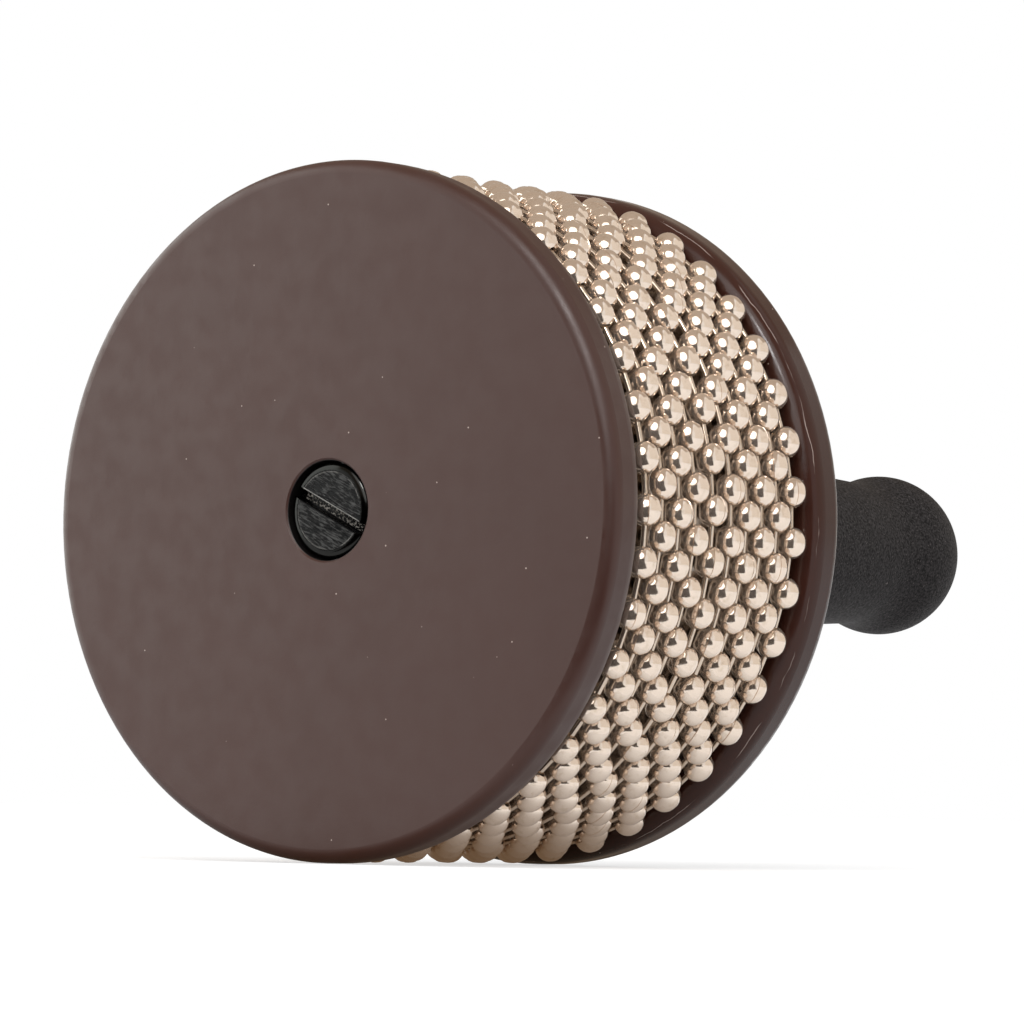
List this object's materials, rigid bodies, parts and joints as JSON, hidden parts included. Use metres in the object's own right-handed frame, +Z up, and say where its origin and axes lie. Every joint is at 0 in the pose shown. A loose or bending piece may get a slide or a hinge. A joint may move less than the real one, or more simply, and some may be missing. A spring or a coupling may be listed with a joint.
{
  "type": "cabasa",
  "caption": "Hand percussion cabasa: rounded twin discs, a steel-clad drum wrapped in loose loops of ball chain, and a contoured foam handle bolted behind.",
  "frame": {"origin": "under the middle of the whole instrument, on the surface that it lies on", "axes": "+Y along the axis from the front disc to the end of the handle, +Z up, +X to the right seen from the front disc"},
  "size_m": [0.106, 0.167, 0.106],
  "materials": {
    "disc_plastic": "dark chocolate brown, satin, with a faint pebbled surface",
    "core_wood": "plain turned hardwood, unfinished",
    "drum_steel": "bright stainless steel sheet with a fine rolled texture",
    "dowel_wood": "plain beech dowel",
    "black_bolt": "black, satin, with a fine cross-ribbed face",
    "zinc_steel": "bright zinc plate",
    "insert_brass": "machined brass",
    "handle_plastic": "black moulded plastic",
    "fibre_washer": "dark red vulcanised fibre",
    "grip_foam": "matte charcoal foam rubber with a fine skin texture",
    "nickel_balls": "bright nickel plate with a warm champagne tone",
    "nickel_links": "bright nickel plate"
  },
  "bodies": {
    "instrument": {"front_disc": "disc_plastic", "rear_disc": "disc_plastic", "drum_core": "core_wood", "drum_sheet": "drum_steel", "front_dowels": "dowel_wood", "rear_dowels": "dowel_wood", "through_bolt": "black_bolt", "bolt_washer": "zinc_steel", "threaded_insert": "insert_brass", "handle_core": "handle_plastic", "handle_washer": "fibre_washer", "handle_pins": "zinc_steel", "grip_sleeve": "grip_foam"},
    "loop_01": {"chain_balls_01": "nickel_balls", "chain_links_01": "nickel_links"},
    "loop_02": {"chain_balls_02": "nickel_balls", "chain_links_02": "nickel_links"},
    "loop_03": {"chain_balls_03": "nickel_balls", "chain_links_03": "nickel_links"},
    "loop_04": {"chain_balls_04": "nickel_balls", "chain_links_04": "nickel_links"},
    "loop_05": {"chain_balls_05": "nickel_balls", "chain_links_05": "nickel_links"},
    "loop_06": {"chain_balls_06": "nickel_balls", "chain_links_06": "nickel_links"},
    "loop_07": {"chain_balls_07": "nickel_balls", "chain_links_07": "nickel_links"},
    "loop_08": {"chain_balls_08": "nickel_balls", "chain_links_08": "nickel_links"},
    "loop_09": {"chain_balls_09": "nickel_balls", "chain_links_09": "nickel_links"},
    "loop_10": {"chain_balls_10": "nickel_balls", "chain_links_10": "nickel_links"}
  },
  "joints": [
    {"name": "loop_01_spin", "type": "hinge", "parent": "instrument", "child": "loop_01", "pos_m": [0, -0.07221, 0.053], "axis": [0, 1, 0], "continuous": true},
    {"name": "loop_02_spin", "type": "hinge", "parent": "instrument", "child": "loop_02", "pos_m": [0, -0.06811, 0.053], "axis": [0, 1, 0], "continuous": true},
    {"name": "loop_03_spin", "type": "hinge", "parent": "instrument", "child": "loop_03", "pos_m": [0, -0.06374, 0.053], "axis": [0, 1, 0], "continuous": true},
    {"name": "loop_04_spin", "type": "hinge", "parent": "instrument", "child": "loop_04", "pos_m": [0, -0.05951, 0.053], "axis": [0, 1, 0], "continuous": true},
    {"name": "loop_05_spin", "type": "hinge", "parent": "instrument", "child": "loop_05", "pos_m": [0, -0.0548, 0.053], "axis": [0, 1, 0], "continuous": true},
    {"name": "loop_06_spin", "type": "hinge", "parent": "instrument", "child": "loop_06", "pos_m": [0, -0.05001, 0.053], "axis": [0, 1, 0], "continuous": true},
    {"name": "loop_07_spin", "type": "hinge", "parent": "instrument", "child": "loop_07", "pos_m": [0, -0.04596, 0.053], "axis": [0, 1, 0], "continuous": true},
    {"name": "loop_08_spin", "type": "hinge", "parent": "instrument", "child": "loop_08", "pos_m": [0, -0.04183, 0.053], "axis": [0, 1, 0], "continuous": true},
    {"name": "loop_09_spin", "type": "hinge", "parent": "instrument", "child": "loop_09", "pos_m": [0, -0.03769, 0.053], "axis": [0, 1, 0], "continuous": true},
    {"name": "loop_10_spin", "type": "hinge", "parent": "instrument", "child": "loop_10", "pos_m": [0, -0.03343, 0.053], "axis": [0, 1, 0], "continuous": true}
  ],
  "couplings": [
    {"joint": "loop_02_spin", "follows": "loop_01_spin", "ratio": 1},
    {"joint": "loop_03_spin", "follows": "loop_01_spin", "ratio": 1},
    {"joint": "loop_04_spin", "follows": "loop_01_spin", "ratio": 1},
    {"joint": "loop_05_spin", "follows": "loop_01_spin", "ratio": 1},
    {"joint": "loop_06_spin", "follows": "loop_01_spin", "ratio": 1},
    {"joint": "loop_07_spin", "follows": "loop_01_spin", "ratio": 1},
    {"joint": "loop_08_spin", "follows": "loop_01_spin", "ratio": 1},
    {"joint": "loop_09_spin", "follows": "loop_01_spin", "ratio": 1},
    {"joint": "loop_10_spin", "follows": "loop_01_spin", "ratio": 1}
  ]
}
